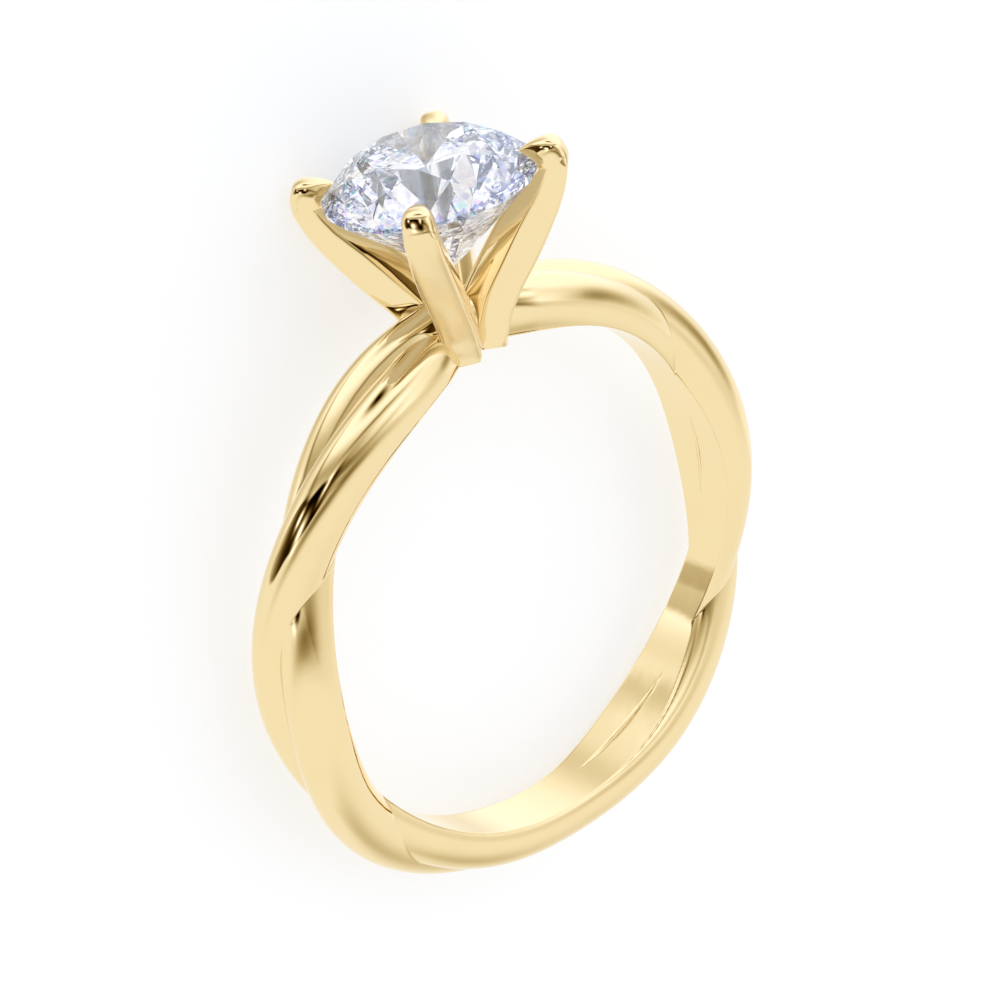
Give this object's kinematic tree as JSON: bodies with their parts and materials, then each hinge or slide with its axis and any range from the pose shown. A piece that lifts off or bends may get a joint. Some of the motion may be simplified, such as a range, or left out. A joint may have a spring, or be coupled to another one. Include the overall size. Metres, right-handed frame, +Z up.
{
  "type": "solitaire ring",
  "caption": "Finger ring with a shank of strands twisted round each other and a claw head that holds a round brilliant, lying on its side.",
  "frame": {"origin": "on the floor, below the middle of the box of the ring as it lies on its side", "axes": "+Z up, +Y from the head towards the bottom of the shank, +X across the ring, to the left as seen from above with the head away from the viewer"},
  "size_m": [0.0204, 0.0256, 0.0065],
  "materials": {
    "gold": "mirror polished yellow gold",
    "stone": "cut and polished, clear and colourless"
  },
  "bodies": {
    "root": {"mounting": "gold", "centre_stone": "stone"}
  },
  "joints": []
}
